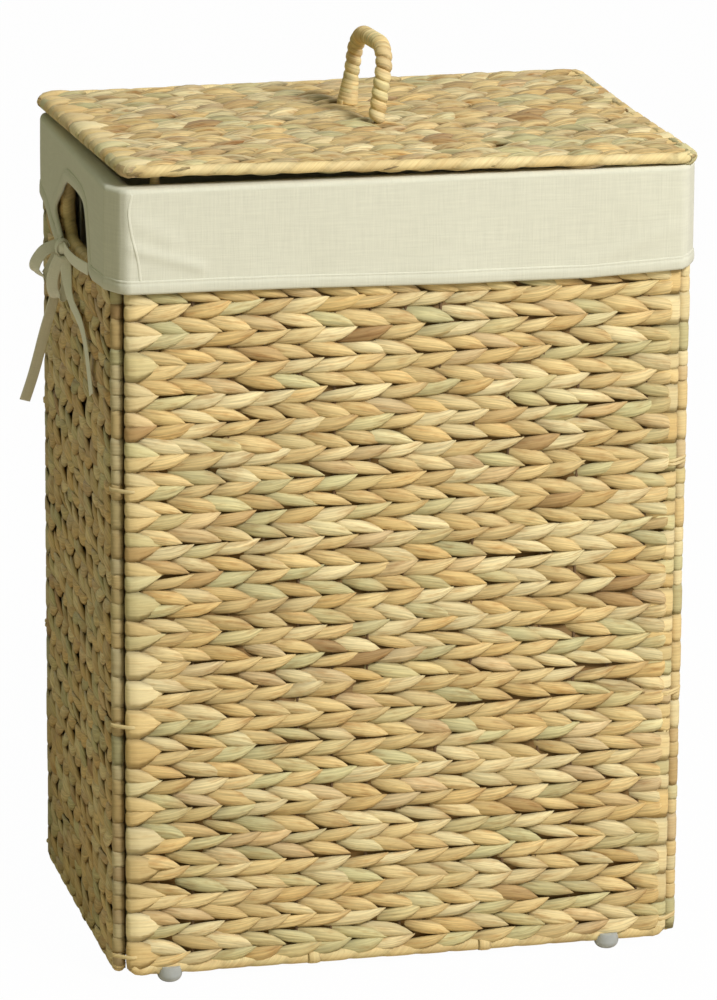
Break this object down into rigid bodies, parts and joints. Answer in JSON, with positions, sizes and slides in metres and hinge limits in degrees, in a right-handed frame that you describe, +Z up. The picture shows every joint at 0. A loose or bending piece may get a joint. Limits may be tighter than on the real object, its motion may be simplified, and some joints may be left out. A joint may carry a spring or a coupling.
{
  "type": "woven laundry basket",
  "caption": "Upright rectangular laundry basket of twined leaf panels on wire frames, with a tied cloth liner folded over the rim, side hand holes and a lift-off woven lid with a wound handle.",
  "frame": {"origin": "on the floor, under the middle of the box", "axes": "+Z up, +X to the right of the front, the front faces -Y"},
  "size_m": [0.4858, 0.288, 0.6596],
  "materials": {
    "twined_leaf": "dried water plant leaf, twined, matte with a faint sheen",
    "leaf_binding": "dried leaf strip wrapped round wire",
    "steel_wire": "dark painted rod",
    "clear_plastic": "translucent moulded",
    "liner_cloth": "plain woven ecru cotton",
    "cotton_tape": "folded and stitched ecru tape"
  },
  "bodies": {
    "basket": {"back_binding": "leaf_binding", "back_frame": "steel_wire", "back_left_foot": "clear_plastic", "back_left_ties": "leaf_binding", "back_right_foot": "clear_plastic", "back_right_ties": "leaf_binding", "back_stakes": "steel_wire", "back_weave": "twined_leaf", "base_binding": "leaf_binding", "base_frame": "steel_wire", "base_stakes": "steel_wire", "base_ties": "leaf_binding", "base_weave": "twined_leaf", "front_binding": "leaf_binding", "front_frame": "steel_wire", "front_left_foot": "clear_plastic", "front_left_ties": "leaf_binding", "front_right_foot": "clear_plastic", "front_right_ties": "leaf_binding", "front_stakes": "steel_wire", "front_weave": "twined_leaf", "left_binding": "leaf_binding", "left_frame": "steel_wire", "left_hole_binding": "leaf_binding", "left_hole_frame": "steel_wire", "left_notch_binding": "liner_cloth", "left_stakes": "steel_wire", "left_tie_front_loop": "cotton_tape", "left_tie_front_tail": "cotton_tape", "left_tie_knot": "cotton_tape", "left_tie_rear_loop": "cotton_tape", "left_tie_rear_tail": "cotton_tape", "left_tie_strap": "cotton_tape", "left_weave": "twined_leaf", "liner_bag": "liner_cloth", "liner_cuff": "liner_cloth", "liner_hem": "liner_cloth", "right_binding": "leaf_binding", "right_frame": "steel_wire", "right_hole_binding": "leaf_binding", "right_hole_frame": "steel_wire", "right_notch_binding": "liner_cloth", "right_stakes": "steel_wire", "right_tie_front_loop": "cotton_tape", "right_tie_front_tail": "cotton_tape", "right_tie_knot": "cotton_tape", "right_tie_rear_loop": "cotton_tape", "right_tie_rear_tail": "cotton_tape", "right_tie_strap": "cotton_tape", "right_weave": "twined_leaf"},
    "lid": {"lid_binding": "leaf_binding", "lid_frame": "steel_wire", "lid_handle_core": "steel_wire", "lid_handle_winding": "leaf_binding", "lid_pegs": "leaf_binding", "lid_stakes": "steel_wire", "lid_weave": "twined_leaf"}
  },
  "joints": [
    {"name": "lid_lift", "type": "slide", "parent": "basket", "child": "lid", "axis": [0, 0, 1], "range_m": [0, 0.3]}
  ]
}
